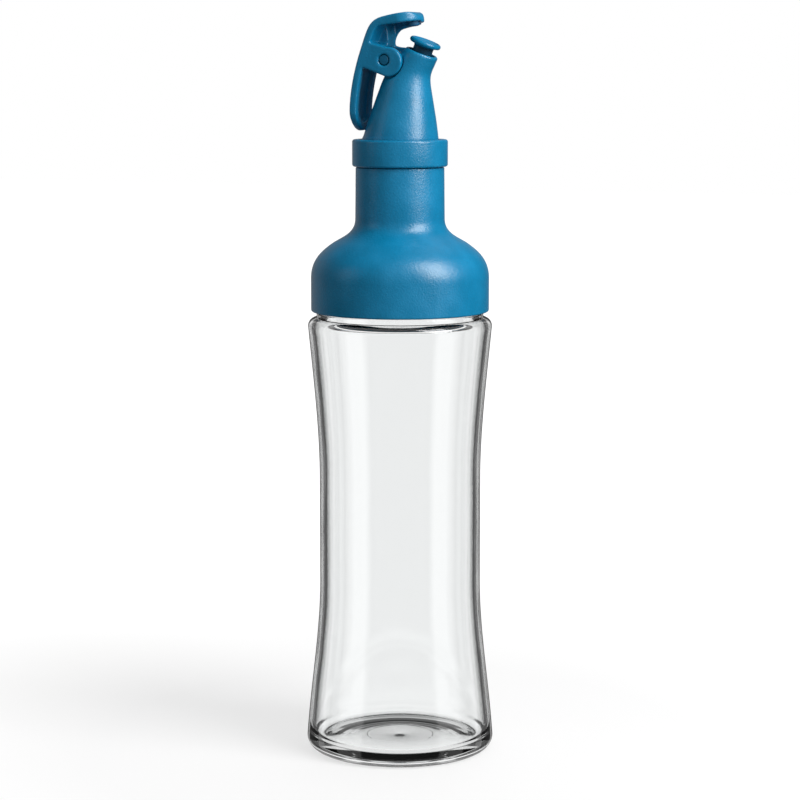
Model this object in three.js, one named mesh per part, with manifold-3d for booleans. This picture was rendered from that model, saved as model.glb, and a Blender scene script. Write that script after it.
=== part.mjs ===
// An oil dispenser bottle: a waisted glass bottle under a screwed-on shoulder shell, with a
// pouring spout that a screwed collar holds down and a rocking lever that caps the pour lip.
// Lengths are millimetres and angles degrees. The bottle stands on z = 0 with its axis on Z,
// and it pours towards +X. The lever is drawn open, as it stands after a press on its paddle.

import * as THREE from 'three';
import { mergeVertices } from 'three/addons/utils/BufferGeometryUtils.js';
import Module from 'manifold-3d';

const wasm = await Module();
wasm.setup();

// Clearances and workshop values shared by several pieces
const seatGap = 0.3;       // between two pieces that rest on each other
const threadGap = 0.35;    // radial play of both screw threads
const pinGap = 0.25;       // radial play of the hinge pin in its holes
const cutOverrun = 1;      // how far a cutter runs past the face that it cuts
const weldSink = 0.5;      // how deep an added ridge or ear starts inside what carries it
const weldTolerance = 0.0001;

// How finely round shapes are divided
const roundSides = 40;
const smallSides = 28;
const arcSteps = 4;
const curveSteps = 8;
const threadSteps = 30;
const threadPhaseShare = 0.5; // of one side, so that no thread corner meets a side's edge

// The glass bottle
const bottle = {
  footRadius: 36,
  waistInset: 5.2,         // how much smaller each part's radius is than the foot's
  shoulderInset: 1,
  beadInset: 4.3,
  finishInset: 5.7,
  puntInset: 9,
  waistBottom: 66,
  waistTop: 105.4,
  shoulderHeight: 164.2,
  footSlopeShare: 0.8,
  shoulderSlopeShare: 1.3,
  heelRound: 3,
  shoulderRound: 3,
  wall: 2.7,
  floor: 7.5,
  floorRound: 6,
  puntDepth: 1.6,
  puntSlope: 1.5,
  beadHeight: 2.3,
  finishHeight: 12,
  rimRound: 0.8,
};
const bottleThread = {
  depth: 1.1, baseWidth: 2.8, crestWidth: 1.3, lead: 6, turns: 1, startTurn: 0, start: 3.6,
};

// The shoulder shell, which screws over the bottle's mouth
const shell = {
  skirtWall: 2.05,
  lift: 2.5,               // height of its lower edge above the bottle's shoulder
  edgeRound: 0.7,
  skirtHeight: 12.6,
  bellHeight: 22.5,
  neckRadius: 16.95,
  neckTopRadius: 16.75,
  neckHeight: 19.3,
  wall: 2,
  shelfWidth: 3.45,        // of the inner shelf that the gasket lies under
  finishInset: 1.55,       // of the finish's radius from the neck's top
  finishWall: 1.8,
  boreStep: 3,
};
// Two curves make the bell: shares of its width from the neck, and of its height
const domeShares = [[1, 0], [1, 0.311], [0.751, 0.462], [0.491, 0.596]];
const flareShares = [[0.491, 0.596], [0.266, 0.698], [0, 0.764], [0, 1]];
const shellThread = { baseWidth: 2.4, crestWidth: 1, turns: 0.9, startTurn: 0.3 };

// The neck's thread and the collar that runs on it
const neckThread = {
  depth: 0.8, baseWidth: 1.4, crestWidth: 0.6, lead: 3, turns: 1, startTurn: 0, start: 1.3,
};
const collar = { wall: 1.7, height: 10.2, round: 0.9, lip: 1.6, innerRound: 0.4 };
const collarThread = { baseWidth: 1.3, crestWidth: 0.5, turns: 1.1, startTurn: 0.45 };

// The two flat ring gaskets
const bottleGasket = { thickness: 1.3, width: 2.8, play: 0.55 };
const spoutGasket = { thickness: 1.2, width: 1.6, play: 0.1 };

// The spout: a leaning cone with a tilted head
const spout = {
  baseOverlap: 1,          // of the cone's base over the neck's bore, in radius
  mouthRadius: 6.4,
  height: 32.55,           // from the collar's top to the centre of the mouth
  lean: 8.94,              // how far the centre of the mouth lies in front of the axis
  tilt: 21,                // of the head, towards the pouring side
  flangeWidth: 0.7,
  flangeThickness: 1.6,
  skirtLength: 8,
  skirtWall: 1.4,
  throatRadius: 4.2,
  channelRadius: 2.6,
  mouthBore: 5.1,
  mouthBoreDepth: 4,
  stemBoreDepth: 9,
};
// Rings up the spout: shares of its height, lean, width over the mouth's, and tilt
const spoutShares = [
  [0, 0.022, 1, 0],
  [0.225, 0.12, 0.79, 0.08],
  [0.5, 0.235, 0.5, 0.2],
  [0.672, 0.324, 0.31, 0.32],
  [0.795, 0.5, 0.165, 0.62],
  [0.91, 0.783, 0.055, 0.9],
  [1, 1, 0, 1],
];
const throatShares = [[0, 0.022], [0.3, 0.14], [0.59, 0.275]];

// The pour lip, which stands in the spout's mouth
const lip = {
  radius: 6,
  edge: 1,
  flare: 1.1,
  stand: 2.4,              // length of bare stem between the mouth and the flare
  stemRadius: 3.75,
  holeRadius: 1.5,
  dish: 0.9,
  rimWidth: 0.5,
};

// The lever and its hinge
const lever = {
  width: 16.5,
  endRadius: 8.4,          // of both round ends, a little flatter than half circles
  plate: 2.85,
  tipReach: 12.6,          // from the pin forward to the hook's tip
  rise: 17.8,              // from the pin up to the hook's top
  backReach: 14,           // from the pin back to the paddle
  drop: 26.6,              // from the pin down to the paddle's end
  underside: 10.2,         // from the hook's cup back to where its flat underside ends
  closeAngle: 29,
  ear: 2.4,
  earRound: 5.5,
  earForward: 1.6,
  earLow: 0.75,
  bridge: 1.2,
  bridgeFront: 1.8,
  skirt: 1.85,
  rim: 2.6,
  recess: 1.6,
  recessTop: 2.5,
  cupRadius: 2.8,
  cupDepth: 1.5,
};
// The back of the lever from the hook's tip to the crown, as shares of tip reach and rise
const crownShares = [[1.08, 0.993], [0.845, 0.998], [0.639, 0.989], [0.433, 0.972], [0.225, 0.947],
  [0.018, 0.916]];
// From the crown to the pin's height, as shares of back reach and rise
const shoulderShares = [[-0.146, 0.881], [-0.296, 0.82], [-0.421, 0.717], [-0.515, 0.574], [-0.584, 0.431],
  [-0.663, 0.253]];
// From the pin's height to the paddle's end, as shares of back reach and drop
const paddleShares = [[-0.769, 0], [-0.853, -0.162], [-0.913, -0.304], [-0.959, -0.447], [-0.989, -0.59],
  [-1, -0.72], [-0.985, -0.86], [-0.95, -1]];
// The skirt on the far side of the hook, from the tip down to the ear, shares of reach and rise
const skirtShares = [[0.9, 0.85], [0.74, 0.776], [0.656, 0.736], [0.461, 0.7], [0.252, 0.665], [0.112, 0.634],
  [0.027, 0.593], [-0.057, 0.511], [-0.099, 0.439], [-0.12, 0.357], [-0.103, 0.275]];
// The ear's upper and lower edges where they leave the plate, shares of back reach and rise
const earTopShare = [-0.5, 0.382];
const earFootShare = [-0.72, -0.124];

const pin = { radius: 1.85, back: 3.4, drop: 2.95, recess: 0.3, holeChamfer: 0.45, lugRadius: 3.9 };
const pad = { proud: 0.75, sunk: 1.2 };

// Radii that follow from the sizes above
const waistRadius = bottle.footRadius - bottle.waistInset;
const shoulderRadius = bottle.footRadius - bottle.shoulderInset;
const beadRadius = bottle.footRadius - bottle.beadInset;
const glassFinishRadius = bottle.footRadius - bottle.finishInset;
const puntRadius = bottle.footRadius - bottle.puntInset;
const shellBore = glassFinishRadius + bottleThread.depth + threadGap;
const shellRadius = shellBore + shell.skirtWall;
const shelfRadius = shellBore - shell.shelfWidth;
const neckFinishRadius = shell.neckTopRadius - shell.finishInset;
const neckFinishBore = neckFinishRadius - shell.finishWall;
const collarBore = neckFinishRadius + neckThread.depth + threadGap;
const collarRadius = collarBore + collar.wall;
const coneRadius = neckFinishBore + spout.baseOverlap;

// Heights that follow from the sizes above
const shoulderTop = bottle.shoulderHeight + bottle.shoulderRound;
const finishBottom = shoulderTop;
const bottleTop = finishBottom + bottle.beadHeight + bottle.finishHeight;
const shellBottom = shoulderTop + shell.lift;
const skirtTop = shellBottom + shell.skirtHeight;
const neckBottom = skirtTop + shell.bellHeight;
const neckTop = neckBottom + shell.neckHeight;
const shelfHeight = bottleTop + bottleGasket.thickness + 2 * seatGap;
const collarBottom = neckTop + seatGap;
const collarTop = collarBottom + collar.height;
const lipUnderside = collarTop - collar.lip;
const flangeTop = lipUnderside - seatGap;
const flangeBottom = flangeTop - spout.flangeThickness;
const spoutGasketBottom = flangeBottom - seatGap - spoutGasket.thickness;
const neckFinishTop = spoutGasketBottom - seatGap;
const mouth = new THREE.Vector2(spout.lean, collarTop + spout.height);
const hinge = new THREE.Vector2(-pin.back, mouth.y - pin.drop);
const radians = THREE.MathUtils.degToRad;
const headAxis = new THREE.Vector2(Math.sin(radians(spout.tilt)), Math.cos(radians(spout.tilt)));

// Solids and meshes

function solidOf(geometry) {
  const bare = new THREE.BufferGeometry();
  bare.setAttribute('position', geometry.getAttribute('position').clone());
  if (geometry.getIndex()) bare.setIndex(geometry.getIndex().clone());
  const merged = mergeVertices(bare, weldTolerance);
  const index = merged.getIndex().array;
  const corners = [];
  for (let i = 0; i < index.length; i += 3) {
    const [a, b, c] = index.slice(i, i + 3);
    if (a !== b && b !== c && c !== a) corners.push(a, b, c);
  }
  return new wasm.Manifold(new wasm.Mesh({
    numProp: 3,
    vertProperties: new Float32Array(merged.getAttribute('position').array),
    triVerts: new Uint32Array(corners),
  }));
}

function geometryOf(solid) {
  const { vertProperties, triVerts } = solid.getMesh();
  const geometry = new THREE.BufferGeometry();
  geometry.setAttribute('position', new THREE.BufferAttribute(vertProperties, 3));
  geometry.setIndex(new THREE.BufferAttribute(triVerts, 1));
  geometry.computeVertexNormals();
  return geometry;
}

function addAll(solid, others) {
  return others.reduce((sum, other) => sum.add(other), solid);
}

function cutAll(solid, cutters) {
  return cutters.reduce((rest, cutter) => rest.subtract(cutter), solid);
}

// A turned solid from an outline of [radius, height] that runs up the outside and down the inside
function turned(outline, sides = roundSides) {
  const points = outline.map(([radius, height]) => new THREE.Vector2(radius, height));
  if (points[0].x > 0) points.push(points[0].clone());
  const geometry = new THREE.LatheGeometry(points, sides);
  geometry.rotateX(Math.PI / 2);
  return solidOf(geometry);
}

// A closed skin over rings of points, with a flat cap on each end
function lofted(rings) {
  const count = rings[0].length;
  const positions = rings.flat().flatMap((point) => point.toArray());
  const index = [];
  for (let ring = 0; ring + 1 < rings.length; ring += 1) {
    for (let side = 0; side < count; side += 1) {
      const next = (side + 1) % count;
      const [a, b] = [ring * count + side, ring * count + next];
      index.push(a, b, b + count, a, b + count, a + count);
    }
  }
  const last = (rings.length - 1) * count;
  for (let side = 1; side + 1 < count; side += 1) {
    index.push(0, side + 1, side, last, last + side, last + side + 1);
  }
  const geometry = new THREE.BufferGeometry();
  geometry.setAttribute('position', new THREE.Float32BufferAttribute(positions, 3));
  geometry.setIndex(index);
  return solidOf(geometry);
}

// A solid from an outline of [x, z], from one y to another
function extruded(outline, fromY, toY) {
  const shape = new THREE.Shape(outline.map(([x, z]) => new THREE.Vector2(x, z)));
  const geometry = new THREE.ExtrudeGeometry(shape, { depth: toY - fromY, bevelEnabled: false });
  geometry.rotateX(Math.PI / 2);
  geometry.translate(0, toY, 0);
  return solidOf(geometry);
}

// A round bar or cone along Y, at [x, z]
function crossBar([x, z], radius, fromY, toY, endRadius = radius) {
  const geometry = new THREE.CylinderGeometry(endRadius, radius, toY - fromY, smallSides);
  geometry.translate(x, (fromY + toY) / 2, z);
  return solidOf(geometry);
}

// A round bar along a slanted line in the XZ plane, from one distance to another
function slantedBar(origin, direction, radius, from, to, sides = smallSides) {
  const geometry = new THREE.CylinderGeometry(radius, radius, to - from, sides);
  geometry.rotateX(Math.PI / 2);
  geometry.rotateY(Math.atan2(direction.x, direction.y));
  const middle = origin.clone().addScaledVector(direction, (from + to) / 2);
  geometry.translate(middle.x, 0, middle.y);
  return solidOf(geometry);
}

function arc([x, z], radius, fromAngle, toAngle, steps = arcSteps) {
  return Array.from({ length: steps + 1 }, (_, step) => {
    const angle = radians(fromAngle + (toAngle - fromAngle) * step / steps);
    return [x + radius * Math.cos(angle), z + radius * Math.sin(angle)];
  });
}

function bezier(controls, steps = curveSteps) {
  const curve = new THREE.CubicBezierCurve(...controls.map(([x, z]) => new THREE.Vector2(x, z)));
  return curve.getPoints(steps).map((point) => [point.x, point.y]);
}

function spline(points, steps) {
  const curve = new THREE.SplineCurve(points.map(([x, z]) => new THREE.Vector2(x, z)));
  return curve.getSpacedPoints(steps).map((point) => [point.x, point.y]);
}

// An outline moved to its left by a distance, looking along it
function offset(points, distance) {
  return points.map(([x, z], i) => {
    const before = points[Math.max(i - 1, 0)];
    const after = points[Math.min(i + 1, points.length - 1)];
    const along = new THREE.Vector2(after[0] - before[0], after[1] - before[1]).normalize();
    return [x - along.y * distance, z + along.x * distance];
  });
}

// A thread ridge that winds up at its lead; its ends sink back into the wall that carries it
function threadRidge({ rootRadius, crestRadius, baseWidth, crestWidth, lead, turns, startTurn, from }) {
  const outward = Math.sign(crestRadius - rootRadius);
  const count = Math.round(threadSteps * turns);
  const inside = rootRadius - outward * weldSink;
  const rings = Array.from({ length: count + 1 }, (_, step) => {
    const turn = startTurn + turns * step / count;
    const angle = 2 * Math.PI * (turn + threadPhaseShare / roundSides);
    const height = from + lead * turn;
    const share = Math.min(1, (step + 1) / arcSteps, (count - step + 1) / arcSteps);
    const crest = inside + (crestRadius - inside) * share;
    const section = [[inside, -baseWidth / 2], [crest, -crestWidth / 2],
      [crest, crestWidth / 2], [inside, baseWidth / 2]];
    if (outward > 0) section.reverse();
    return section.map(([radius, rise]) => new THREE.Vector3(
      radius * Math.cos(angle), radius * Math.sin(angle), height + rise));
  });
  return lofted(rings);
}

// The bottle

function bottleOutside() {
  const { footRadius, waistBottom, waistTop, shoulderHeight } = bottle;
  const swell = (share, slope) => share ** 2 * (3 - 2 * share) + slope * (share ** 3 - share ** 2);
  const side = (endRadius, endHeight, waistHeight, slope) => {
    return Array.from({ length: curveSteps + 1 }, (_, step) => {
      const share = step / curveSteps;
      const radius = waistRadius + (endRadius - waistRadius) * swell(share, slope);
      return [radius, waistHeight + (endHeight - waistHeight) * share];
    });
  };
  const lower = side(footRadius, bottle.heelRound, waistBottom, bottle.footSlopeShare);
  const upper = side(shoulderRadius, shoulderHeight, waistTop, bottle.shoulderSlopeShare);
  return [...lower.reverse(), ...upper];
}

function makeBottle() {
  const outside = bottleOutside();
  const { heelRound, shoulderRound, wall, floor, floorRound, rimRound } = bottle;
  const heel = arc([bottle.footRadius - heelRound, heelRound], heelRound, -90, 0);
  const shoulderCentre = [shoulderRadius - shoulderRound, bottle.shoulderHeight];
  const shoulder = arc(shoulderCentre, shoulderRound, 0, 90);
  const beadTop = finishBottom + bottle.beadHeight;
  const bore = glassFinishRadius - wall + rimRound;
  const finish = [
    [beadRadius, finishBottom], [beadRadius, beadTop - rimRound],
    [beadRadius - rimRound, beadTop], [glassFinishRadius, beadTop],
    ...arc([glassFinishRadius - rimRound, bottleTop - rimRound], rimRound, 0, 90, 2),
    ...arc([bore + rimRound, bottleTop - rimRound], rimRound, 90, 180, 2),
  ];
  const inside = offset(outside, wall).filter(([, height]) => {
    return height > floor + floorRound && height < shoulderTop - shoulderRound;
  });
  const cornerRadius = inside[0][0] - floorRound;
  const corner = arc([cornerRadius, floor + floorRound], floorRound, 0, -90);
  const throat = [[bore, finishBottom]];
  const punt = [[0, bottle.puntDepth], [puntRadius, bottle.puntDepth],
    [puntRadius + bottle.puntSlope, 0]];
  const outline = [...punt, ...heel, ...outside.slice(1, -1), ...shoulder, ...finish,
    ...throat, ...inside.reverse(), ...corner, [0, floor]];
  const ridge = threadRidge({
    ...bottleThread,
    rootRadius: glassFinishRadius,
    crestRadius: glassFinishRadius + bottleThread.depth,
    from: beadTop + bottleThread.start,
  });
  return turned(outline).add(ridge);
}

// The shell, the collar and the gaskets

function bellCurve(shares) {
  const width = shellRadius - shell.neckRadius;
  return bezier(shares.map(([across, up]) => {
    return [shell.neckRadius + width * across, skirtTop + shell.bellHeight * up];
  }));
}

function makeShell() {
  const bell = [...bellCurve(domeShares), ...bellCurve(flareShares).slice(1)];
  const inner = offset(bell, shell.wall).filter(([radius]) => radius < shelfRadius);
  const neckBore = inner[inner.length - 1][0];
  const { edgeRound, boreStep } = shell;
  const outline = [
    [shellBore, shellBottom],
    ...arc([shellRadius - edgeRound, shellBottom + edgeRound], edgeRound, -90, 0, 3),
    ...bell, [shell.neckTopRadius, neckTop],
    [neckFinishRadius, neckTop], [neckFinishRadius, neckFinishTop], [neckFinishBore, neckFinishTop],
    [neckFinishBore, neckTop - boreStep], [neckBore, neckTop - 2 * boreStep],
    ...inner.reverse(), [shelfRadius, shelfHeight], [shellBore, shelfHeight],
  ];
  const glassRidge = threadRidge({
    ...shellThread,
    lead: bottleThread.lead,
    rootRadius: shellBore,
    crestRadius: glassFinishRadius + threadGap,
    from: finishBottom + bottle.beadHeight + bottleThread.start - bottleThread.lead / 2,
  });
  const neckRidge = threadRidge({
    ...neckThread,
    rootRadius: neckFinishRadius,
    crestRadius: neckFinishRadius + neckThread.depth,
    from: neckTop + neckThread.start,
  });
  return addAll(turned(outline), [glassRidge, neckRidge]);
}

function makeCollar() {
  const mouthRadius = coneRadius + seatGap;
  const { round, innerRound } = collar;
  const outline = [
    [collarBore, collarBottom],
    ...arc([collarRadius - round, collarBottom + round], round, -90, 0, 3),
    ...arc([collarRadius - round, collarTop - round], round, 0, 90, 3),
    [mouthRadius + innerRound, collarTop], [mouthRadius, collarTop - innerRound],
    [mouthRadius, lipUnderside], [collarBore, lipUnderside],
  ];
  const ridge = threadRidge({
    ...collarThread,
    lead: neckThread.lead,
    rootRadius: collarBore,
    crestRadius: neckFinishRadius + threadGap,
    from: neckTop + neckThread.start - neckThread.lead / 2,
  });
  return turned(outline).add(ridge);
}

// A flat ring that lies in a seat of this radius
function makeGasket({ thickness, width, play }, seatRadius, bottom) {
  const outer = seatRadius - play;
  return turned([[outer - width, bottom], [outer, bottom],
    [outer, bottom + thickness], [outer - width, bottom + thickness]]);
}

// The spout

function tiltedRing(centre, radius, tilt, sides = roundSides) {
  const [c, s] = [Math.cos(radians(tilt)), Math.sin(radians(tilt))];
  return Array.from({ length: sides }, (_, side) => {
    const angle = 2 * Math.PI * side / sides;
    const across = radius * Math.cos(angle);
    return new THREE.Vector3(centre.x + across * c, radius * Math.sin(angle), centre.y - across * s);
  });
}

function spoutRings() {
  const curve = (pair) => new THREE.SplineCurve(spoutShares.map((row) => new THREE.Vector2(...pair(row))));
  const centres = curve(([up, out]) => [out, up]);
  const widths = curve(([, , width, tilt]) => [width, tilt]);
  const steps = 2 * curveSteps;
  return Array.from({ length: steps + 1 }, (_, step) => {
    const [centre, form] = [centres.getPoint(step / steps), widths.getPoint(step / steps)];
    const place = new THREE.Vector2(spout.lean * centre.x, collarTop + spout.height * centre.y);
    const radius = spout.mouthRadius + (coneRadius - spout.mouthRadius) * form.x;
    return tiltedRing(place, radius, spout.tilt * form.y);
  });
}

// The hollow that narrows from the skirt to the channel under the stem
function throatCutter() {
  const skirtBore = neckFinishBore - seatGap - spout.skirtWall;
  const rings = throatShares.map(([up, out], i) => {
    const place = new THREE.Vector2(spout.lean * out, collarTop + spout.height * up);
    const share = i / (throatShares.length - 1);
    return tiltedRing(place, skirtBore + (spout.throatRadius - skirtBore) * share, 0);
  });
  const below = new THREE.Vector2(0, collarTop - cutOverrun);
  return lofted([tiltedRing(below, skirtBore, 0), ...rings]);
}

// What an ear's round end sweeps round the pin from open to closed, with room to spare
function sweptEar() {
  const { earForward, earLow, earRound, closeAngle } = lever;
  const out = Math.hypot(earForward, earLow);
  const outAngle = -THREE.MathUtils.radToDeg(Math.atan2(earLow, earForward));
  const reach = (angle) => {
    const nearest = THREE.MathUtils.clamp(outAngle, angle, angle + closeAngle) - outAngle;
    const turn = radians(nearest);
    return out * Math.cos(turn) + Math.sqrt(earRound ** 2 - (out * Math.sin(turn)) ** 2) + 2 * seatGap;
  };
  const [lowest, highest] = [-closeAngle - 100, 100];
  const steps = 3 * curveSteps;
  return Array.from({ length: steps + 1 }, (_, step) => {
    const angle = lowest + (highest - lowest) * step / steps;
    const radius = reach(angle);
    return [hinge.x + radius * Math.cos(radians(angle)), hinge.y + radius * Math.sin(radians(angle))];
  });
}

function makeSpout() {
  const skirtRadius = neckFinishBore - seatGap;
  const skirtBore = skirtRadius - spout.skirtWall;
  const skirtBottom = flangeBottom - spout.skirtLength;
  const flangeRadius = coneRadius + spout.flangeWidth;
  const base = turned([
    [skirtBore, skirtBottom], [skirtRadius, skirtBottom], [skirtRadius, flangeBottom],
    [flangeRadius, flangeBottom], [flangeRadius, flangeTop], [coneRadius, flangeTop],
    [coneRadius, collarTop + weldSink], [skirtBore, collarTop + weldSink],
  ]);
  const lugFront = mouth.x - spout.throatRadius;
  const lug = extruded([
    ...arc([hinge.x, hinge.y], pin.lugRadius, 90, 270, 2 * arcSteps),
    [lugFront, hinge.y - pin.lugRadius], [lugFront, hinge.y + pin.lugRadius - pin.drop],
  ], -earInside(), earInside());
  const reliefs = [-1, 1].map((side) => {
    const [near, far] = [earInside() - seatGap, coneRadius];
    return extruded(sweptEar(), side < 0 ? -far : near, side < 0 ? -near : far);
  });
  const down = (depth) => mouth.clone().addScaledVector(headAxis, -depth);
  const [throatUp, throatOut] = throatShares[throatShares.length - 1];
  const foot = new THREE.Vector2(spout.lean * throatOut, collarTop + spout.height * throatUp);
  const way = down(spout.stemBoreDepth).sub(foot);
  const channelEnd = way.length() + cutOverrun;
  const cutters = [
    ...reliefs,
    throatCutter(),
    slantedBar(foot, way.normalize(), spout.channelRadius, -cutOverrun, channelEnd),
    slantedBar(mouth, headAxis, lip.stemRadius + seatGap, -spout.stemBoreDepth, cutOverrun),
    slantedBar(mouth, headAxis, spout.mouthBore, -spout.mouthBoreDepth, cutOverrun),
    crossBar([hinge.x, hinge.y], pin.radius + pinGap, -coneRadius, coneRadius),
  ];
  return cutAll(lofted(spoutRings()).add(lug), cutters).add(base);
}

// The pour lip, upright with the mouth at its origin
function makeLip() {
  const { radius, edge, flare, stand, stemRadius, holeRadius, dish, rimWidth } = lip;
  const top = stand + flare + edge;
  const foot = seatGap - spout.stemBoreDepth;
  return turned([
    [holeRadius, foot], [stemRadius, foot], [stemRadius, stand], [radius - edge / 2, stand + flare],
    [radius, stand + flare + edge / 2], [radius - rimWidth / 2, top], [radius - rimWidth, top],
    [2 * holeRadius, top - dish], [holeRadius, top - dish],
  ], smallSides);
}

// The lever, with the hinge pin at its origin

function earInside() {
  return lever.width / 2 - lever.ear;
}

// The centre of the lip's top face, seen from the pin, when the lever is open by this angle
function lipTopSeenFromPin(angle) {
  const top = mouth.clone().addScaledVector(headAxis, lip.stand + lip.flare + lip.edge);
  return top.sub(hinge).rotateAround(new THREE.Vector2(), radians(angle));
}

// The hook's underside: its middle over the lip's, the centre of its round tip, and the way along
// it to the tip and up from it
function hookPlane() {
  const slope = radians(lever.closeAngle - spout.tilt);
  const along = new THREE.Vector2(Math.cos(slope), Math.sin(slope));
  const up = new THREE.Vector2(-along.y, along.x);
  const middle = lipTopSeenFromPin(lever.closeAngle).addScaledVector(up, seatGap + pad.proud);
  const ahead = (lever.tipReach - middle.x) / along.x - lever.endRadius;
  const tipCentre = middle.clone().addScaledVector(along, ahead);
  return { middle, tipCentre, along, up };
}

function leverBack() {
  const scaled = (shares, across, up) => shares.map(([x, z]) => [x * across, z * up]);
  return spline([
    ...scaled(crownShares, lever.tipReach, lever.rise),
    ...scaled(shoulderShares, lever.backReach, lever.rise),
    ...scaled(paddleShares, lever.backReach, lever.drop),
  ], 3 * curveSteps);
}

function leverPlate() {
  const back = leverBack();
  const { middle, tipCentre, along } = hookPlane();
  const tip = tipCentre.clone().addScaledVector(along, lever.endRadius + cutOverrun);
  const heel = middle.clone().addScaledVector(along, -lever.underside);
  const inside = offset(back, lever.plate).filter(([x, z]) => x < heel.x && z < heel.y);
  const outline = [...back, ...inside.reverse(), heel.toArray(), tip.toArray()];
  const past = lever.width / 2 + cutOverrun;
  return extruded(outline, -past, past);
}

// A slab as wide as the lever, which trims its sides flush
function leverWidth() {
  const [reach, rise] = [2 * lever.backReach, 2 * lever.drop];
  return extruded([[-reach, -rise], [reach, -rise], [reach, rise], [-reach, rise]],
    -lever.width / 2, lever.width / 2);
}

// What is left of a block beyond a round end of the lever
function roundEnd(centre, direction) {
  const [half, reach] = [lever.width, lever.drop];
  const across = new THREE.Vector2(direction.y, -direction.x);
  const corner = (forward, side) => {
    const point = centre.clone().addScaledVector(direction, forward).addScaledVector(across, side);
    return [point.x, point.y];
  };
  const block = extruded([corner(0, -half), corner(reach, -half), corner(reach, half), corner(0, half)],
    -half, half);
  return block.subtract(slantedBar(centre, across, lever.endRadius, -reach, reach, roundSides));
}

function makeLever() {
  const half = lever.width / 2;
  const place = ([x, z], across, rise) => [x * across, z * rise];
  const earTop = place(earTopShare, lever.backReach, lever.rise);
  const earFoot = place(earFootShare, lever.backReach, lever.rise);
  const earOutline = [
    earFoot, ...arc([lever.earForward, -lever.earLow], lever.earRound, -105, 95, 3 * arcSteps), earTop,
  ];
  const ears = [-1, 1].map((side) => {
    const past = half + cutOverrun;
    return extruded(earOutline, side < 0 ? -past : earInside(), side < 0 ? -earInside() : past);
  });
  const earCrest = [lever.earForward, lever.earRound - lever.earLow];
  const bridgeSlope = (earCrest[1] - earTop[1]) / (earCrest[0] - earTop[0]);
  const bridgeTop = (x) => earTop[1] + (x - earTop[0]) * bridgeSlope;
  const front = -lever.bridgeFront;
  const bridge = extruded([earTop, [earTop[0], earTop[1] - lever.bridge],
    [front, bridgeTop(front) - lever.bridge], [front, bridgeTop(front)],
  ], -half + weldSink, half - weldSink);
  const skirtCorners = skirtShares.map((share) => place(share, lever.tipReach, lever.rise));
  const skirtEdge = spline(skirtCorners, curveSteps).reverse();
  const buried = ([x, z]) => x < skirtCorners[0][0] && z > 0;
  const skirtBack = offset(leverBack(), lever.plate / 2).filter(buried);
  const skirt = extruded([...skirtBack, ...skirtEdge], half - lever.skirt, half + cutOverrun);
  const endCentre = new THREE.Vector2(-lever.backReach, lever.endRadius - lever.drop);
  return finishLever({ ears, bridge, skirt, endCentre });
}

function finishLever({ ears, bridge, skirt, endCentre }) {
  const half = lever.width / 2;
  const { middle, tipCentre, along, up } = hookPlane();
  const blank = addAll(leverPlate(), [...ears, bridge, skirt]).intersect(leverWidth());
  const recess = paddleRecess(endCentre);
  const cup = slantedBar(middle, up, lever.cupRadius, -cutOverrun, lever.cupDepth);
  const hole = crossBar([0, 0], pin.radius + pinGap, -half - cutOverrun, half + cutOverrun);
  const wide = pin.radius + pinGap + pin.holeChamfer;
  const chamfers = [
    crossBar([0, 0], wide, -half, -half + pin.holeChamfer, pin.radius + pinGap),
    crossBar([0, 0], pin.radius + pinGap, half - pin.holeChamfer, half, wide),
  ];
  const ends = [roundEnd(tipCentre, along), roundEnd(endCentre, new THREE.Vector2(0, -1))];
  return cutAll(blank, [...ends, recess, cup, hole, ...chamfers]);
}

// The dished face of the paddle, inside its rim
function paddleRecess(endCentre) {
  const half = lever.width / 2 - lever.rim;
  const low = ([, z]) => z < -lever.recessTop;
  const floorLine = offset(leverBack(), lever.plate - lever.recess).filter(low);
  const faceLine = offset(leverBack(), 2 * lever.plate).filter(low);
  const slab = extruded([...floorLine, ...faceLine.reverse()], -half, half);
  const centre = endCentre.clone();
  const [reach, bottom] = [lever.backReach, centre.y];
  const straight = extruded([[-2 * reach, 0], [-2 * reach, bottom], [0, bottom], [0, 0]], -half, half);
  const end = slantedBar(centre, new THREE.Vector2(1, 0), half, -reach, reach);
  return slab.intersect(straight.add(end));
}

function makePin() {
  const half = lever.width / 2 - pin.recess;
  return crossBar([0, 0], pin.radius, -half, half);
}

// The seal pad, a plug in the hook's cup that comes down on the floor of the lip's dish
function makePad() {
  const { middle, up } = hookPlane();
  return slantedBar(middle, up, lever.cupRadius - seatGap, -pad.proud - lip.dish, pad.sunk);
}

// Finishes: satin moulded plastic, silicone and clear glass
const bluePlastic = new THREE.MeshStandardMaterial({ color: 0x0a6ea0, roughness: 0.5, metalness: 0 });
const innerPlastic = new THREE.MeshStandardMaterial({ color: 0x0b5f8c, roughness: 0.45, metalness: 0 });
const silicone = new THREE.MeshStandardMaterial({ color: 0x8fa6b2, roughness: 0.7, metalness: 0 });
const glass = new THREE.MeshStandardMaterial({
  color: 0xeef2f2, roughness: 0.05, metalness: 0, transparent: true, opacity: 0.35,
});

function piece(name, solid, material, place = null) {
  const mesh = new THREE.Mesh(geometryOf(solid), material);
  mesh.name = name;
  if (place) mesh.position.set(place.x, 0, place.y);
  return mesh;
}

const pourLip = piece('pour_lip', makeLip(), innerPlastic, mouth);
pourLip.rotation.y = radians(spout.tilt);

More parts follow.
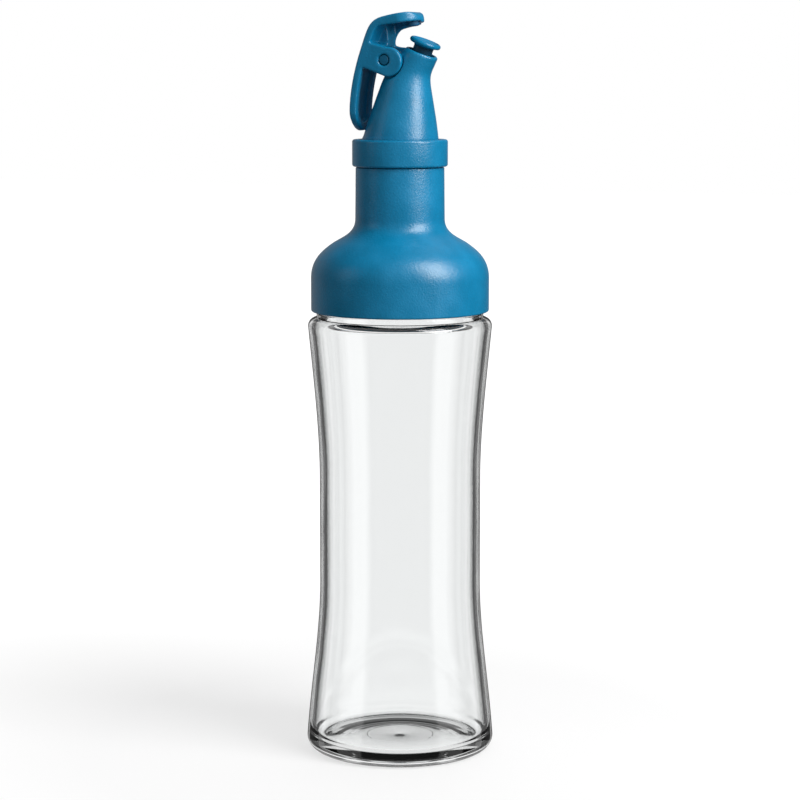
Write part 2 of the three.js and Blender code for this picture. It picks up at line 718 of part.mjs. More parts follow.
const dispenser = new THREE.Group();
dispenser.add(
  piece('glass_bottle', makeBottle(), glass),
  piece('bottle_gasket', makeGasket(bottleGasket, shellBore, bottleTop + seatGap), silicone),
  piece('shoulder_shell', makeShell(), bluePlastic),
  piece('spout_gasket', makeGasket(spoutGasket, neckFinishRadius, spoutGasketBottom), silicone),
  piece('spout_body', makeSpout(), bluePlastic),
  piece('collar_ring', makeCollar(), bluePlastic),
  pourLip,
  piece('hinge_pin', makePin(), bluePlastic, hinge),
  piece('lever', makeLever(), bluePlastic, hinge),
  piece('lever_seal', makePad(), silicone, hinge),
);

export default dispenser;
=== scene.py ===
# An oil dispenser bottle: clear glass, satin blue plastic and a rocking lever over the pour lip.
# Pieces are modelled in millimetres in the frame's own axes and brought to metres at the end.

import math
from types import SimpleNamespace as Sizes

import bpy
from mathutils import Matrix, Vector


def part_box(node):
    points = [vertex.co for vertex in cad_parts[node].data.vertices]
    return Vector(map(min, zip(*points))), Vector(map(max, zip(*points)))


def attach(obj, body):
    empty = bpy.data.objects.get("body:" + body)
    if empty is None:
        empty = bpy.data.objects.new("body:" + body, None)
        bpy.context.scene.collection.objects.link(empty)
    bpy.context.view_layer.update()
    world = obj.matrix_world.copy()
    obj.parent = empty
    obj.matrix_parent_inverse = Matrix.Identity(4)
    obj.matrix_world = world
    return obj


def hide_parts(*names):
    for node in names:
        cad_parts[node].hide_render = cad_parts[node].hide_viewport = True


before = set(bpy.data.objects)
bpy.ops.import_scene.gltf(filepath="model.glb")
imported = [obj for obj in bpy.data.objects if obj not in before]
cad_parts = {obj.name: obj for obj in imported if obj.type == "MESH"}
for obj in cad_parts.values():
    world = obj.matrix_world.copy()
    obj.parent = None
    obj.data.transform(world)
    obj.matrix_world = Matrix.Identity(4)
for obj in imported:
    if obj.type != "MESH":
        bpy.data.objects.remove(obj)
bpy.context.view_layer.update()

METRES = 0.001

# How finely the pieces are divided
GLASS_SIDES = 192
ROUND_SIDES = 144
SMALL_SIDES = 72
SIDE_STEPS = 36
CURVE_STEPS = 24
ARC_STEPS = 8
THREAD_STEPS = 96
LEVER_STEPS = 160

# Clearances and cutting room
SEAT_GAP = 0.3
THREAD_GAP = 0.35
PIN_GAP = 0.25
OVERRUN = 1.0
WELD = 0.5
MERGE_DISTANCE = 0.001

# The glass bottle
bottle = Sizes(
    foot_radius=36.0, waist_radius=30.8, shoulder_radius=35.0, waist_bottom=66.0, waist_top=105.4,
    shoulder_height=164.2, foot_slope=0.8, shoulder_slope=1.3, heel_round=4.5, shoulder_round=3.0,
    wall=2.7, floor=5.0, floor_round=3.5, inner_round=1.6, punt_radius=27.0, punt_depth=1.6,
    punt_slope=2.5, ring_radius=13.0, ring_step=0.3, nub_radius=2.4, nub_drop=0.12, bead_radius=31.7,
    bead_height=2.3, finish_radius=30.3, rim_round=0.8,
)
bottle_thread = Sizes(depth=1.1, base=2.8, crest=1.3, lead=6.0, turns=1.0, start=3.6)

# The shoulder shell and the collar
shell = Sizes(
    radius=33.8, edge_round=0.7, skirt=12.6, bell=22.5, neck_radius=16.95, neck_top_radius=16.75,
    neck=19.3, wall=2.0, shelf_radius=28.3, finish_radius=15.2, finish_bore=13.4, bore_step=3.0,
    top_round=0.35,
)
DOME_SHARES = ((1, 0), (1, 0.311), (0.751, 0.462), (0.491, 0.596))
FLARE_SHARES = ((0.491, 0.596), (0.266, 0.698), (0, 0.764), (0, 1))
shell_thread = Sizes(base=2.4, crest=1.0, turns=0.9, start_turn=0.3)
neck_thread = Sizes(depth=0.8, base=1.4, crest=0.6, lead=3.0, turns=1.0, start=1.3)
collar = Sizes(round=0.9, lip=1.6, inner_round=0.4)
collar_thread = Sizes(base=1.3, crest=0.5, turns=1.1, start_turn=0.45)
GASKET_ROUND = 0.3
BOTTLE_RING_WIDTH = 2.8
NECK_RING_WIDTH = 1.6

# The spout and the pour lip
spout = Sizes(
    base_radius=14.4, mouth_radius=6.4, height=32.55, lean=8.94, tilt=21.0, flange_thickness=1.6,
    skirt_wall=1.4, throat_radius=4.2, channel_radius=2.6, mouth_bore=5.1, mouth_bore_depth=4.0,
    stem_bore_depth=9.0, lug_radius=3.9, pin_drop=2.95, rim_round=0.9,
)
# Rings up the spout: shares of its height, lean, width over the mouth's, and tilt
SPOUT_SHARES = (
    (0, 0.022, 1, 0), (0.225, 0.12, 0.79, 0.08), (0.5, 0.235, 0.5, 0.2), (0.672, 0.324, 0.31, 0.32),
    (0.795, 0.5, 0.165, 0.62), (0.91, 0.783, 0.055, 0.9), (1, 1, 0, 1),
)
# Rings up the hollow inside it: shares of its height and lean
THROAT_SHARES = ((0, 0.022), (0.3, 0.14), (0.59, 0.275))
# How far the mouth's rim is rounded, in degrees, before its flat top
RIM_TURN = 80
lip = Sizes(radius=6.0, edge=1.9, flare=0.7, stand=1.9, stem_radius=3.75, hole_radius=1.5, dish=0.9,
            rim=0.5, edge_start=-60)
# Where the dish's slope ends on its floor: shares of the hole's radius
DISH_SHARES = (2.6, 1.4)

# The lever, with the pin at its origin
lever = Sizes(
    width=16.5, end_radius=8.4, plate=2.85, tip_reach=12.6, rise=17.8, back_reach=14.0, drop=26.6,
    underside=10.2, close_angle=29.0, ear=2.4, ear_round=5.5, ear_forward=1.6, ear_low=0.75,
    ear_start=-105, ear_end=95, bridge=1.2, bridge_front=1.8, skirt=1.85, pocket=1.2, tip_rim=0.6,
    rim=3.2, recess=1.6, recess_top=2.5, cup_radius=2.8, cup_depth=1.5, hole_chamfer=0.45,
)
# Its back from the hook's tip to the paddle's, and the edge of the hook's deeper wall: shares of the
# reach and of the rise or drop
CROWN_SHARES = ((1.05, 0.79), (1, 0.85), (0.952, 0.905), (0.88, 0.957), (0.79, 0.987), (0.69, 0.997),
                (0.54, 0.983), (0.433, 0.972), (0.225, 0.947), (0.018, 0.916))
SHOULDER_SHARES = ((-0.146, 0.881), (-0.296, 0.82), (-0.421, 0.717), (-0.515, 0.574), (-0.584, 0.431),
                   (-0.663, 0.253))
PADDLE_SHARES = ((-0.769, 0), (-0.853, -0.162), (-0.913, -0.304), (-0.959, -0.447), (-0.989, -0.59),
                 (-1, -0.72), (-0.985, -0.86), (-0.95, -1))
SKIRT_SHARES = ((0.9, 0.85), (0.74, 0.776), (0.656, 0.736), (0.461, 0.7), (0.252, 0.665),
                (0.112, 0.634), (0.027, 0.593), (-0.057, 0.511), (-0.099, 0.439), (-0.12, 0.357),
                (-0.103, 0.275))
EAR_TOP_SHARE = (-0.5, 0.382)
EAR_FOOT_SHARE = (-0.72, -0.124)
# How far past level the ears' sweep is cut clear, in degrees
SWEEP_MARGIN = 100
pin = Sizes(radius=1.85, recess=0.3, round=0.35)
pad = Sizes(proud=0.75, sunk=1.2, round=0.7)

# Soft moulded edges: the voxel that a joined piece is skinned with, and its smoothing passes
SPOUT_VOXEL = 0.3
LEVER_VOXEL = 0.22
SPOUT_PASSES = 16
LEVER_PASSES = 46
SMOOTH_FACTOR = 0.5
# Faces that meet at less than this many degrees are shaded as one
SMOOTH_ANGLE = 35.0


# Places taken from the frame, in millimetres

def cad_box(node):
    low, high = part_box(node)
    return low / METRES, high / METRES


glass_high = cad_box("glass_bottle")[1]
shell_low, shell_high = cad_box("shoulder_shell")
collar_low, collar_high = cad_box("collar_ring")
spout_low, spout_high = cad_box("spout_body")
pin_low, pin_high = cad_box("hinge_pin")

finish_bottom = bottle.shoulder_height + bottle.shoulder_round
bead_top = finish_bottom + bottle.bead_height
bottle_top = glass_high.z
shell_bottom = shell_low.z
skirt_top = shell_bottom + shell.skirt
neck_top = skirt_top + shell.bell + shell.neck
neck_finish_top = shell_high.z
shell_bore = bottle.finish_radius + bottle_thread.depth + THREAD_GAP
shelf_height = cad_box("bottle_gasket")[1].z + SEAT_GAP
collar_bottom, collar_top, collar_radius = collar_low.z, collar_high.z, collar_high.x
collar_bore = shell.finish_radius + neck_thread.depth + THREAD_GAP
lip_underside = collar_top - collar.lip
flange_top = lip_underside - SEAT_GAP
flange_bottom = flange_top - spout.flange_thickness
flange_radius = spout_high.y
skirt_radius = shell.finish_bore - SEAT_GAP
skirt_bore = skirt_radius - spout.skirt_wall
mouth = Vector((spout.lean, collar_top + spout.height))
hinge = Vector(((pin_low.x + pin_high.x) / 2, mouth.y - spout.pin_drop))
head_axis = Vector((math.sin(math.radians(spout.tilt)), math.cos(math.radians(spout.tilt))))
ear_inside = lever.width / 2 - lever.ear


# Lines and curves, as lists of (across, up)

def arc(centre, radius, start, end, steps=ARC_STEPS):
    angles = [math.radians(start + (end - start) * step / steps) for step in range(steps + 1)]
    return [(centre[0] + radius * math.cos(a), centre[1] + radius * math.sin(a)) for a in angles]


def bezier(corners, steps=CURVE_STEPS):
    line = []
    for step in range(steps + 1):
        t = step / steps
        weights = ((1 - t) ** 3, 3 * (1 - t) ** 2 * t, 3 * (1 - t) * t ** 2, t ** 3)
        line.append(tuple(sum(w * c[i] for w, c in zip(weights, corners)) for i in (0, 1)))
    return line


def spline(points, steps):
    """A smooth line through points that hold any number of values."""
    last = len(points) - 1
    line = []
    for step in range(steps + 1):
        place = last * step / steps
        i = min(int(place), last - 1)
        t = place - i
        four = [points[min(max(k, 0), last)] for k in (i - 1, i, i + 1, i + 2)]
        line.append(tuple(
            b + t * ((c - a) / 2 + t * (a - 2.5 * b + 2 * c - d / 2 + t * (1.5 * (b - c) + (d - a) / 2)))
            for a, b, c, d in zip(*four)))
    return line


def offset(points, distance):
    """A line moved to its left by a distance, looking along it."""
    moved = []
    for i, point in enumerate(points):
        along = Vector(points[min(i + 1, len(points) - 1)]) - Vector(points[max(i - 1, 0)])
        along.normalize()
        moved.append((point[0] - along.y * distance, point[1] + along.x * distance))
    return moved


def scaled(shares, across, up):
    return [(x * across, z * up) for x, z in shares]


# Modelling

def only(piece):
    bpy.ops.object.select_all(action="DESELECT")
    piece.select_set(True)
    bpy.context.view_layer.objects.active = piece


def named(name):
    """Names the new primitive and puts its place into its mesh."""
    piece = bpy.context.object
    piece.name = name
    piece.data.name = name
    bpy.ops.object.transform_apply(location=True, rotation=True, scale=True)
    return piece


def edit():
    bpy.ops.object.mode_set(mode="EDIT")
    bpy.ops.mesh.select_all(action="SELECT")


def close_edit():
    bpy.ops.mesh.select_all(action="SELECT")
    bpy.ops.mesh.remove_doubles(threshold=MERGE_DISTANCE)
    bpy.ops.mesh.normals_make_consistent(inside=False)
    bpy.ops.object.mode_set(mode="OBJECT")


def modify(piece, kind, **settings):
    """Adds a modifier with its settings and applies it."""
    only(piece)
    modifier = piece.modifiers.new(kind.title(), kind)
    for setting, value in settings.items():
        setattr(modifier, setting, value)
    bpy.ops.object.modifier_apply(modifier=modifier.name)


def combine(piece, others, how="UNION"):
    """Joins or cuts a closed piece with others, which are used up. They overlap and share no plane,
    so that every run gives the same mesh."""
    for other in others:
        modify(piece, "BOOLEAN", operation=how, solver="MANIFOLD", object=other)
        bpy.data.objects.remove(other)
    return piece


def cut(piece, cutters):
    return combine(piece, cutters, "DIFFERENCE")


def turned(name, outline, sides=ROUND_SIDES):
    """A turned piece: a ring is extruded along an outline of (radius, height).
    An outline that starts on the axis starts with a disc, and one that ends there is merged."""
    bpy.ops.object.select_all(action="DESELECT")
    on_axis = outline[0][0] == 0
    (radius, height), *rest = outline[1:] if on_axis else outline + outline[:1]
    bpy.ops.mesh.primitive_circle_add(vertices=sides, radius=radius, location=(0, 0, height),
                                      fill_type="TRIFAN" if on_axis else "NOTHING")
    piece = named(name)
    edit()
    if on_axis:
        bpy.ops.mesh.region_to_loop()
    for next_radius, next_height in rest:
        rise = {"value": (0, 0, next_height - height)}
        bpy.ops.mesh.extrude_edges_move(TRANSFORM_OT_translate=rise)
        if next_radius == 0:
            bpy.ops.mesh.merge(type="CENTER")
            break
        share = next_radius / radius
        bpy.ops.transform.resize(value=(share, share, 1), center_override=(0, 0, next_height))
        radius, height = next_radius, next_height
    close_edit()
    return piece


def lofted(name, rings, sides=ROUND_SIDES):
    """A closed skin over tilted round rings of (centre x, centre z, radius, tilt)."""
    bpy.ops.object.select_all(action="DESELECT")
    (x, z, radius, tilt), *rest = rings
    bpy.ops.mesh.primitive_circle_add(vertices=sides, radius=radius, location=(x, 0, z),
                                      rotation=(0, math.radians(tilt), 0))
    piece = named(name)
    edit()
    for next_x, next_z, next_radius, next_tilt in rest:
        centre = (next_x, 0, next_z)
        share = next_radius / radius
        bpy.ops.mesh.extrude_edges_move(TRANSFORM_OT_translate={"value": (next_x - x, 0, next_z - z)})
        bpy.ops.transform.resize(value=(share, share, share), center_override=centre)
        bpy.ops.transform.rotate(value=-math.radians(next_tilt - tilt), orient_axis="Y",
                                 center_override=centre)
        x, z, radius, tilt = next_x, next_z, next_radius, next_tilt
    bpy.ops.mesh.select_all(action="SELECT")
    bpy.ops.mesh.fill_holes(sides=sides)
    close_edit()
    return piece


def slab(name, outline, from_y, to_y):
    """A slab: the corners of a ring are moved onto an outline of (x, z), then filled and extruded."""
    bpy.ops.object.select_all(action="DESELECT")
    bpy.ops.mesh.primitive_circle_add(vertices=len(outline), radius=1)
    piece = named(name)
    for corner, (x, z) in zip(piece.data.vertices, outline):
        corner.co = (x, from_y, z)
    edit()
    bpy.ops.mesh.edge_face_add()
    bpy.ops.mesh.extrude_region_move(TRANSFORM_OT_translate={"value": (0, to_y - from_y, 0)})
    close_edit()
    return piece


def bar(name, origin, direction, radius, start, end):
    """A round bar along a slanted line in the XZ plane, from one distance to another."""
    bpy.ops.object.select_all(action="DESELECT")
    middle = origin + direction * (start + end) / 2
    bpy.ops.mesh.primitive_cylinder_add(
        vertices=ROUND_SIDES, radius=radius, depth=end - start, location=(middle.x, 0, middle.y),
        rotation=(0, math.atan2(direction.x, direction.y), 0))
    return named(name)


def cross_bar(name, centre, radius, from_y, to_y, end_radius=None):
    """A round bar or cone along Y, at (x, z)."""
    bpy.ops.object.select_all(action="DESELECT")
    bpy.ops.mesh.primitive_cone_add(
        vertices=SMALL_SIDES, radius1=radius, radius2=end_radius or radius, depth=to_y - from_y,
        location=(centre.x, (from_y + to_y) / 2, centre.y), rotation=(-math.pi / 2, 0, 0))
    return named(name)


def thread(name, root, crest, base_width, crest_width, lead, turns, start_turn, height):
    """A thread ridge: its section is screwed round, and its ends sink into the wall."""
    bpy.ops.object.select_all(action="DESELECT")
    outward = math.copysign(1, crest - root)
    sunk = root - outward * WELD
    section = ((sunk, -base_width / 2), (crest, -crest_width / 2), (crest, crest_width / 2),
               (sunk, base_width / 2))
    bpy.ops.mesh.primitive_circle_add(vertices=len(section), radius=1)
    ridge = named(name)
    for corner, (x, z) in zip(ridge.data.vertices, section):
        corner.co = (x, 0, height + lead * start_turn + z)
    steps = round(THREAD_STEPS * turns)
    modify(ridge, "SCREW", axis="Z", angle=2 * math.pi * turns, screw_offset=lead * turns,
           steps=steps, render_steps=steps)
    for i, corner in enumerate(ridge.data.vertices):
        ring = i // len(section)
        share = min(1, (ring + 1) / ARC_STEPS, (steps - ring + 1) / ARC_STEPS)
        radius = math.hypot(corner.co.x, corner.co.y)
        pulled = (sunk + (radius - sunk) * share) / radius
        corner.co.x *= pulled
        corner.co.y *= pulled
    only(ridge)
    ridge.rotation_euler.z = 2 * math.pi * start_turn
    bpy.ops.object.transform_apply(rotation=True)
    edit()
    bpy.ops.mesh.fill_holes(sides=len(section))
    close_edit()
    return ridge


def soften(piece, voxel, passes):
    """Skins a joined piece evenly and rounds its edges, as a mould does."""
    modify(piece, "REMESH", mode="VOXEL", voxel_size=voxel, adaptivity=0)
    modify(piece, "SMOOTH", factor=SMOOTH_FACTOR, iterations=passes)
    return piece


def lay(piece, origin, direction=Vector((0, 1))):
    """Moves an upright piece to a place in the XZ plane, with its axis along a direction there."""
    only(piece)
    piece.rotation_euler.y = math.atan2(direction.x, direction.y)
    piece.location = (origin.x, 0, origin.y)
    bpy.ops.object.transform_apply(location=True, rotation=True)
    return piece


def finish_piece(piece, material, body, node):
    """Brings a piece to metres, shades it, and sets it in the frame in place of its node."""
    only(piece)
    piece.scale = (METRES, METRES, METRES)
    bpy.ops.object.transform_apply(scale=True)
    bpy.ops.object.shade_smooth_by_angle(angle=math.radians(SMOOTH_ANGLE))
    piece.data.materials.clear()
    piece.data.materials.append(material)
    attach(piece, body)
    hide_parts(node)


# The glass bottle

def bottle_side(end_radius, end_height, waist_height, slope):
    line = []
    for step in range(SIDE_STEPS + 1):
        share = step / SIDE_STEPS
        swell = share ** 2 * (3 - 2 * share) + slope * (share ** 3 - share ** 2)
        line.append((bottle.waist_radius + (end_radius - bottle.waist_radius) * swell,
                     waist_height + (end_height - waist_height) * share))
    return line


def make_bottle():
    b = bottle
    lower = bottle_side(b.foot_radius, b.heel_round, b.waist_bottom, b.foot_slope)
    upper = bottle_side(b.shoulder_radius, b.shoulder_height, b.waist_top, b.shoulder_slope)
    outside = lower[::-1] + upper
    nub_height = b.punt_depth + b.ring_step - b.nub_drop
    base = [
        (0, nub_height), (b.nub_radius / 2, nub_height), (b.nub_radius, b.punt_depth + b.ring_step),
        (b.ring_radius - b.ring_step, b.punt_depth + b.ring_step), (b.ring_radius, b.punt_depth),
        (b.punt_radius, b.punt_depth), (b.punt_radius + b.punt_slope, 0),
    ]
    heel = arc((b.foot_radius - b.heel_round, b.heel_round), b.heel_round, -90, 0)
    shoulder = arc((b.shoulder_radius - b.shoulder_round, b.shoulder_height), b.shoulder_round, 0, 90)
    bore = b.finish_radius - b.wall + b.rim_round
    rim_height = bottle_top - b.rim_round
    finish = [
        (b.bead_radius, finish_bottom),
        *arc((b.bead_radius - b.rim_round, bead_top - b.rim_round), b.rim_round, 0, 90),
        (b.finish_radius, bead_top),
        *arc((b.finish_radius - b.rim_round, rim_height), b.rim_round, 0, 90),
        *arc((bore + b.rim_round, rim_height), b.rim_round, 90, 180),
        (bore, finish_bottom),
    ]
    low, high = b.floor + b.floor_round, finish_bottom - b.shoulder_round - WELD
    inside = [point for point in offset(outside, b.wall) if low < point[1] < high]
    top_corner = arc((inside[-1][0] - b.inner_round, high), b.inner_round, 90, 0)
    corner = arc((inside[0][0] - b.floor_round, low), b.floor_round, 0, -90)
    outline = [*base, *heel, *outside[1:-1], *shoulder, *finish, *top_corner, *inside[::-1], *corner,
               (0, b.floor)]
    ridge = thread("bottle_thread", b.finish_radius, b.finish_radius + bottle_thread.depth,
                   bottle_thread.base, bottle_thread.crest, bottle_thread.lead, bottle_thread.turns,
                   0, bead_top + bottle_thread.start)
    return combine(turned("clear_bottle", outline, GLASS_SIDES), [ridge])


# The shoulder shell, the collar and the gaskets

def bell_curve(shares):
    width = shell.radius - shell.neck_radius
    return bezier([(shell.neck_radius + width * x, skirt_top + shell.bell * z) for x, z in shares])


def make_shell():
    s = shell
    bell = bell_curve(DOME_SHARES) + bell_curve(FLARE_SHARES)[1:]
    inner = [point for point in offset(bell, s.wall) if point[0] < s.shelf_radius]
    outline = [
        (shell_bore, shell_bottom + s.edge_round / 2),
        (shell_bore + s.edge_round / 2, shell_bottom),
        *arc((s.radius - s.edge_round, shell_bottom + s.edge_round), s.edge_round, -90, 0),
        *bell, *arc((s.neck_top_radius - s.top_round, neck_top - s.top_round), s.top_round, 0, 90),
        (s.finish_radius, neck_top), (s.finish_radius, neck_finish_top - s.top_round),
        (s.finish_radius - s.top_round, neck_finish_top), (s.finish_bore + s.top_round, neck_finish_top),
        (s.finish_bore, neck_finish_top - s.top_round), (s.finish_bore, neck_top - s.bore_step),
        (inner[-1][0], neck_top - 2 * s.bore_step), *inner[::-1],
        (s.shelf_radius, shelf_height), (shell_bore, shelf_height),
    ]
    glass_ridge = thread(
        "shell_thread", shell_bore, bottle.finish_radius + THREAD_GAP, shell_thread.base,
        shell_thread.crest, bottle_thread.lead, shell_thread.turns, shell_thread.start_turn,
        bead_top + bottle_thread.start - bottle_thread.lead / 2)
    neck_ridge = thread(
        "neck_thread", s.finish_radius, s.finish_radius + neck_thread.depth, neck_thread.base,
        neck_thread.crest, neck_thread.lead, neck_thread.turns, 0, neck_top + neck_thread.start)
    return combine(turned("shoulder", outline), [glass_ridge, neck_ridge])


def make_collar():
    mouth_radius = spout.base_radius + SEAT_GAP
    round_, inner = collar.round, collar.inner_round
    outline = [
        (collar_bore, collar_bottom),
        *arc((collar_radius - round_, collar_bottom + round_), round_, -90, 0),
        *arc((collar_radius - round_, collar_top - round_), round_, 0, 90),
        *arc((mouth_radius + inner, collar_top - inner), inner, 90, 180),
        (mouth_radius, lip_underside), (collar_bore, lip_underside),
    ]
    ridge = thread(
        "collar_thread", collar_bore, shell.finish_radius + THREAD_GAP, collar_thread.base,
        collar_thread.crest, neck_thread.lead, collar_thread.turns, collar_thread.start_turn,
        neck_top + neck_thread.start - neck_thread.lead / 2)
    return combine(turned("screw_collar", outline), [ridge])


def make_gasket(name, node, width):
    """A flat ring with rounded edges that fills its node's box."""
    low, high = cad_box(node)
    inner, outer, r = high.x - width, high.x, GASKET_ROUND
    outline = [
        *arc((inner + r, low.z + r), r, 180, 270), *arc((outer - r, low.z + r), r, -90, 0),
        *arc((outer - r, high.z - r), r, 0, 90), *arc((inner + r, high.z - r), r, 90, 180),
    ]
    return turned(name, outline)


# The spout, the pour lip and the pin

def swept_ear():
    """What an ear's round end sweeps round the pin from open to closed, with room to spare."""
    out = math.hypot(lever.ear_forward, lever.ear_low)
    out_angle = -math.degrees(math.atan2(lever.ear_low, lever.ear_forward))
    lowest, highest, steps = -lever.close_angle - SWEEP_MARGIN, SWEEP_MARGIN, 3 * CURVE_STEPS
    line = []
    for step in range(steps + 1):
        angle = lowest + (highest - lowest) * step / steps
        nearest = min(max(out_angle, angle), angle + lever.close_angle) - out_angle
        turn = math.radians(nearest)
        ear = math.sqrt(lever.ear_round ** 2 - (out * math.sin(turn)) ** 2)
        reach = out * math.cos(turn) + ear + PIN_GAP
        line += arc(hinge, reach, angle, angle, 1)[:1]
    return line


def make_spout():
    s = spout
    widening = s.base_radius - s.mouth_radius
    rings = [(s.lean * x, collar_top + s.height * z, s.mouth_radius + widening * w, s.tilt * t)
             for z, x, w, t in spline(SPOUT_SHARES, 2 * CURVE_STEPS)]
    rings = [ring for ring in rings if (mouth - Vector(ring[:2])).dot(head_axis) > s.rim_round]
    for turn, drop in arc((s.mouth_radius - s.rim_round, -s.rim_round), s.rim_round, 0, RIM_TURN):
        centre = mouth + head_axis * drop
        rings.append((centre.x, centre.y, turn, s.tilt))
    cone = lofted("pouring_spout", rings)
    base = turned("spout_base", [
        (skirt_bore, spout_low.z), (skirt_radius, spout_low.z), (skirt_radius, flange_bottom),
        (flange_radius, flange_bottom), (flange_radius, flange_top), (s.base_radius, flange_top),
        (s.base_radius, collar_top + WELD), (skirt_bore, collar_top + WELD),
    ])
    lug_front = mouth.x - s.throat_radius
    lug = slab("lug", [
        *arc(hinge, s.lug_radius, 90, 270, 2 * CURVE_STEPS), (lug_front, hinge.y - s.lug_radius),
        (lug_front, hinge.y + s.lug_radius - s.pin_drop),
    ], -ear_inside, ear_inside)
    near, far = ear_inside - SEAT_GAP, s.base_radius
    reliefs = [slab("relief", swept_ear(), *sides) for sides in ((-far, -near), (near, far))]
    throat_rings = [(0, collar_top - OVERRUN, skirt_bore, 0)]
    for i, (z, x) in enumerate(THROAT_SHARES):
        radius = skirt_bore + (s.throat_radius - skirt_bore) * i / (len(THROAT_SHARES) - 1)
        throat_rings.append((s.lean * x, collar_top + s.height * z, radius, 0))
    foot = Vector((throat_rings[-1][0], throat_rings[-1][1]))
    way = mouth - head_axis * s.stem_bore_depth - foot
    cutters = reliefs + [
        lofted("throat", throat_rings),
        bar("channel", foot, way.normalized(), s.channel_radius, -OVERRUN, way.length + OVERRUN),
        bar("stem_bore", mouth, head_axis, lip.stem_radius + SEAT_GAP, -s.stem_bore_depth, OVERRUN),
        bar("mouth_bore", mouth, head_axis, s.mouth_bore, -s.mouth_bore_depth, OVERRUN),
        cross_bar("pin_hole", hinge, pin.radius + PIN_GAP, -far, far),
    ]
    body = combine(cut(combine(cone, [lug]), cutters), [base])
    return soften(body, SPOUT_VOXEL, SPOUT_PASSES)


def make_lip():
    p = lip
    top, foot = p.stand + p.flare + p.edge, SEAT_GAP - spout.stem_bore_depth
    flare = bezier([(p.stem_radius, p.stand - p.flare / 2), (p.stem_radius, p.stand + p.flare / 2),
                    (p.radius - p.edge, p.stand + p.flare), (p.radius - p.edge / 2, p.stand + p.flare)])
    outline = [
        (p.hole_radius, foot), (p.stem_radius - SEAT_GAP, foot), (p.stem_radius, foot + SEAT_GAP),
        *flare, *arc((p.radius - p.edge / 2, top - p.edge / 2), p.edge / 2, p.edge_start, 90),
        *bezier([(p.radius - p.rim - p.edge / 4, top), (p.radius - 2 * p.rim, top),
                 *((share * p.hole_radius, top - p.dish) for share in DISH_SHARES)]),
        *arc((p.hole_radius + SEAT_GAP, top - p.dish - SEAT_GAP), SEAT_GAP, 90, 180),
    ]
    return lay(turned("pouring_lip", outline), mouth, head_axis)


def make_pin():
    half, r = lever.width / 2 - pin.recess, pin.round
    outline = [
        (0, -half), (pin.radius - r, -half), *arc((pin.radius - r, r - half), r, -90, 0)[1:],
        *arc((pin.radius - r, half - r), r, 0, 90), (0, half),
    ]
    piece = turned("pivot_pin", outline, SMALL_SIDES)
    piece.rotation_euler.x = math.pi / 2
    return lay(piece, hinge)


# The lever

def hook_plane():
    """The hook's underside when open: its middle over the lip's, the centre of its round tip, and
    the way along it to the tip and up from it."""
    slope = math.radians(lever.close_angle - spout.tilt)
    along = Vector((math.cos(slope), math.sin(slope)))
    up = Vector((-along.y, along.x))
    top = mouth + head_axis * (lip.stand + lip.flare + lip.edge) - hinge
    turn = math.radians(lever.close_angle)
    middle = Vector((top.x * math.cos(turn) - top.y * math.sin(turn),
                     top.x * math.sin(turn) + top.y * math.cos(turn)))
    middle += up * (SEAT_GAP + pad.proud)
    ahead = (lever.tip_reach - middle.x) / along.x - lever.end_radius
    return middle, middle + along * ahead, along, up


def lever_back():
    return spline([
        *scaled(CROWN_SHARES, lever.tip_reach, lever.rise),
        *scaled(SHOULDER_SHARES, lever.back_reach, lever.rise),
        *scaled(PADDLE_SHARES, lever.back_reach, lever.drop),
    ], LEVER_STEPS)


def round_end(name, centre, direction):
    """What is left of a block beyond a round end of the lever."""
    half, reach = lever.width, lever.drop
    across = Vector((direction.y, -direction.x))
    corners = [centre + direction * forward + across * side for forward, side in (
        (0, -half), (reach, -half), (reach, half), (0, half))]
    block = slab(name, [tuple(corner) for corner in corners], -half, half)
    return cut(block, [bar(name + "_bar", centre, across, lever.end_radius, -reach, reach)])


def paddle_recess(end_centre):
    """The dished face of the paddle, inside its rim."""
    half = lever.width / 2 - lever.rim
    back = lever_back()
    floor = [point for point in offset(back, lever.plate - lever.recess) if point[1] < -lever.recess_top]
    face = [point for point in offset(back, 2 * lever.plate) if point[1] < -lever.recess_top]
    recess = slab("recess", floor + face[::-1], -half, half)
    reach, bottom = lever.back_reach, end_centre.y
    straight = slab("recess_side", [(-2 * reach, 0), (-2 * reach, bottom), (0, bottom), (0, 0)],
                    -half, half)
    end = bar("recess_end", end_centre, Vector((1, 0)), half, -reach, reach)
    return combine(recess, [combine(straight, [end])], "INTERSECT")


def hook_pocket():
    """The hollow under the hook, inside its rim, and the room that the closed lip needs there."""
    middle, tip_centre, along, up = hook_plane()
    inside, rise = lever.width / 2 - lever.skirt, up * lever.pocket
    ahead, drop = along * (lever.end_radius + OVERRUN), -up * lever.ear_round
    back = middle - along * lever.underside
    front, start = tip_centre + along * SEAT_GAP, tip_centre - along * WELD
    hollow = slab("pocket", [tuple(p) for p in (back + drop, front + drop, front + rise, back + rise)],
                  -inside, inside)
    room = slab("lip_room", [tuple(p - up * lever.tip_rim) for p in (
        start + drop, start + ahead + drop, start + ahead, start)], -2 * inside, inside + PIN_GAP / 2)
    end = bar("pocket_end", tip_centre, up, inside, -lever.ear_round - WELD, lever.pocket - PIN_GAP / 2)
    return [hollow, room, end]


